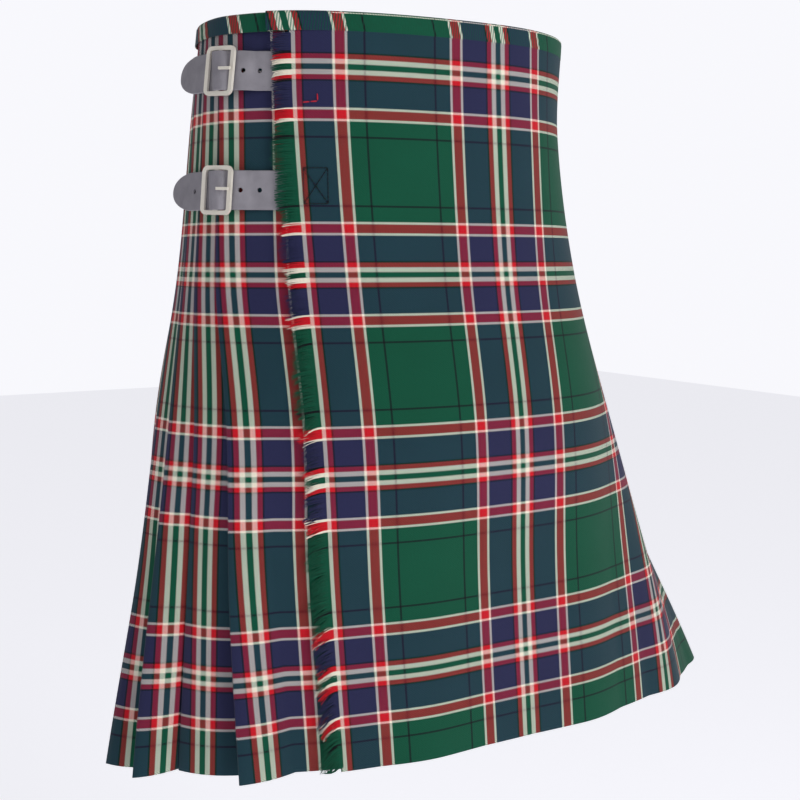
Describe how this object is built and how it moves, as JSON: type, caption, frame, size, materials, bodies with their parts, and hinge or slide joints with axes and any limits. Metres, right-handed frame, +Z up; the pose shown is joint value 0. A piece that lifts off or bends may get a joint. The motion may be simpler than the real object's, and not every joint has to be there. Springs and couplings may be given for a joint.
{
  "type": "kilt",
  "caption": "Pleated wrap-around tartan kilt with a flat apron, fringed apron edge, bound waist and leather straps with buckles, held open in the form it is worn in.",
  "frame": {"origin": "inside the waist opening, level with the middle of the upper strap, where the kilt is held by the wearer's waist", "axes": "+Z up; the wearer faces -Y, so the wearer's right hip is at -X and the pleats at the back are at +Y"},
  "size_m": [0.5951, 0.3264, 0.584],
  "materials": {
    "tartan_apron": "worsted twill woven in green and navy tartan with white and red lines",
    "tartan_pleats": "the same worsted twill, pressed into knife pleats",
    "frayed_weft": "loose ends of the weft yarn, in the colours of the sett",
    "tartan_band": "a strip of the same twill, mostly green, its stripes leaning",
    "strap_leather": "grey-black strap leather, creased and dull",
    "buckle_metal": "plated, pale warm silver, softly polished"
  },
  "bodies": {
    "root": {"over_apron": "tartan_apron", "under_apron": "tartan_apron", "apron_fringe": "frayed_weft", "pleat_01": "tartan_pleats", "pleat_02": "tartan_pleats", "pleat_03": "tartan_pleats", "pleat_04": "tartan_pleats", "pleat_05": "tartan_pleats", "pleat_06": "tartan_pleats", "pleat_07": "tartan_pleats", "pleat_08": "tartan_pleats", "pleat_09": "tartan_pleats", "pleat_10": "tartan_pleats", "pleat_11": "tartan_pleats", "pleat_12": "tartan_pleats", "pleat_13": "tartan_pleats", "pleat_14": "tartan_pleats", "pleat_15": "tartan_pleats", "pleat_16": "tartan_pleats", "pleat_17": "tartan_pleats", "pleat_18": "tartan_pleats", "pleat_19": "tartan_pleats", "pleat_20": "tartan_pleats", "pleat_21": "tartan_pleats", "pleat_22": "tartan_pleats", "pleat_23": "tartan_pleats", "inverted_pleat": "tartan_pleats", "waistband_over_apron": "tartan_band", "waistband_under_apron": "tartan_band", "waistband_pleats": "tartan_band", "strap_upper": "strap_leather", "buckle_upper_tab": "strap_leather", "buckle_upper_frame": "buckle_metal", "buckle_upper_prong": "buckle_metal", "strap_lower": "strap_leather", "buckle_lower_tab": "strap_leather", "buckle_lower_frame": "buckle_metal", "buckle_lower_prong": "buckle_metal", "strap_left": "strap_leather", "buckle_left_tab": "strap_leather", "buckle_left_frame": "buckle_metal", "buckle_left_prong": "buckle_metal"}
  },
  "joints": []
}
